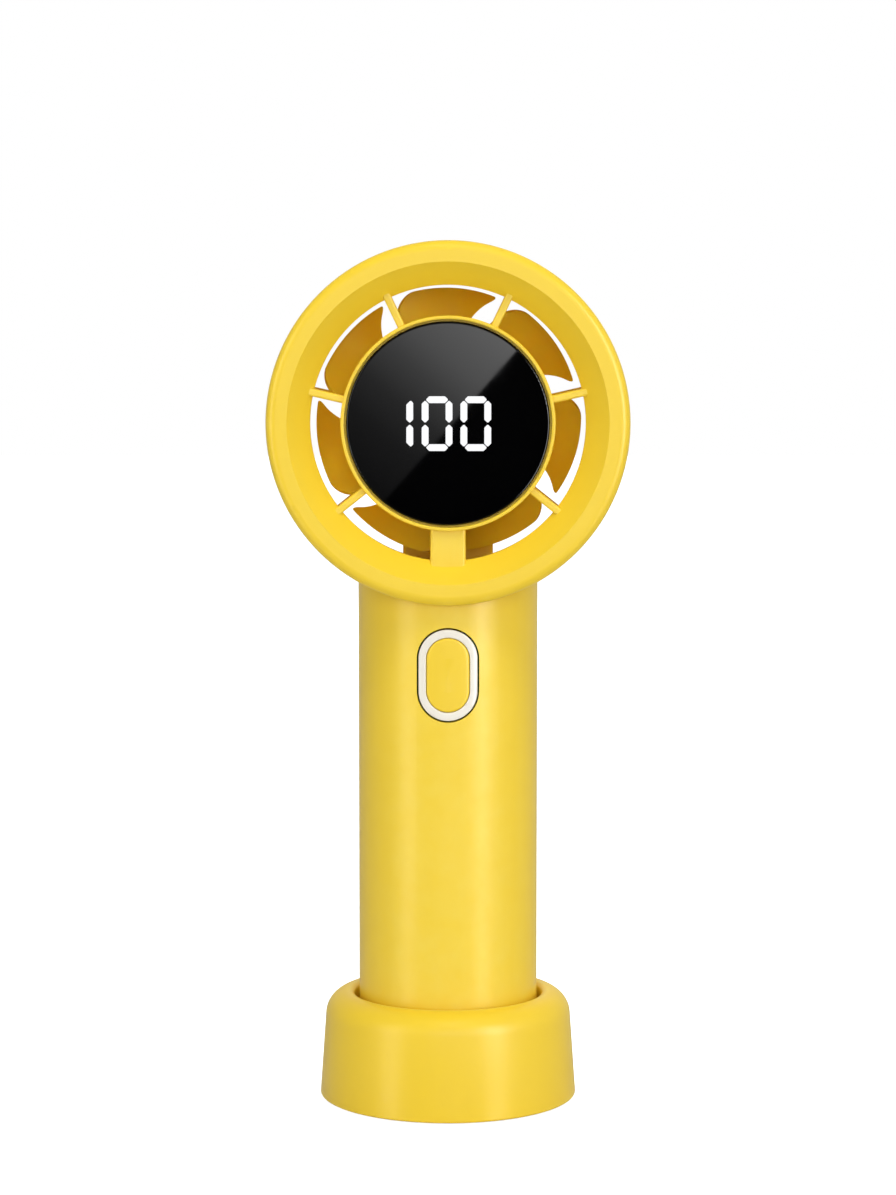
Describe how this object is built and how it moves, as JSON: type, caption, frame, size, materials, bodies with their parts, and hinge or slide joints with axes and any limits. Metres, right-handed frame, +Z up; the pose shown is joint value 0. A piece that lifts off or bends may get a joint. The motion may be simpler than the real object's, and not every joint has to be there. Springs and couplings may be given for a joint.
{
  "type": "handheld electric fan with base",
  "caption": "Handheld electric fan: round head with a bladed fan behind a central numeric display, round handle with an oval button, and a cup-shaped base it stands in.",
  "frame": {"origin": "centre of the base's underside, on the floor", "axes": "+Z up along the handle, -Y towards the front where the display faces, +X to the display's right"},
  "size_m": [0.08, 0.0586, 0.1945],
  "materials": {
    "yellow_shell": "satin",
    "fan_yellow": "satin",
    "silver_trim": "pearl",
    "display_black": "glossy",
    "display_white": "lit",
    "white_plastic": "matt",
    "black_rubber": "matt",
    "black_plastic": "matt",
    "board_green": "satin",
    "cable_film": "satin",
    "cell_wrap": "satin",
    "copper": "satin",
    "steel": "zinc plated",
    "aluminium": "turned",
    "core_iron": "matt"
  },
  "bodies": {
    "base": {"base_shell": "yellow_shell", "base_plate": "yellow_shell", "base_weights": "steel", "base_screws": "steel", "foot_ring": "black_rubber", "socket_pad": "black_rubber"},
    "impeller": {"impeller": "fan_yellow", "rotor_bell": "steel", "rotor_magnets": "core_iron", "motor_shaft": "steel", "shaft_clip": "steel"},
    "power_button": {"button_cap": "yellow_shell", "switch_plunger": "black_plastic"},
    "fan_body": {"front_housing": "yellow_shell", "rear_housing": "yellow_shell", "end_cap": "yellow_shell", "front_ring": "yellow_shell", "hub_cup": "yellow_shell", "front_spokes": "yellow_shell", "rear_hub": "yellow_shell", "rear_spokes": "yellow_shell", "rear_grille": "yellow_shell", "strut_cover": "yellow_shell", "button_bezel": "silver_trim", "display_cover": "display_black", "display_segments": "display_white", "display_leds": "display_white", "display_reflector": "white_plastic", "motor_leads": "black_rubber", "battery_cradle": "black_plastic", "tact_switch": "black_plastic", "usb_tongue": "black_plastic", "board_chips": "black_plastic", "main_board": "board_green", "display_board": "board_green", "charge_board": "board_green", "display_cable": "cable_film", "battery_cell": "cell_wrap", "stator_windings": "copper", "battery_tabs": "copper", "handle_screws": "steel", "head_screws": "steel", "display_screws": "steel", "motor_screws": "steel", "motor_bearings": "steel", "board_screws": "steel", "usb_port": "steel", "motor_bracket": "aluminium", "stator_core": "core_iron"}
  },
  "joints": [
    {"name": "fan_lift", "type": "slide", "parent": "base", "child": "fan_body", "axis": [0, 0, 1], "range_m": [0, 0.03]},
    {"name": "impeller_spin", "type": "hinge", "parent": "fan_body", "child": "impeller", "pos_m": [0, 0, 0.1545], "axis": [0, 1, 0], "continuous": true},
    {"name": "button_press", "type": "slide", "parent": "fan_body", "child": "power_button", "axis": [0, 1, 0], "range_m": [0, 0.0005], "stiffness_N_per_m": 600}
  ]
}
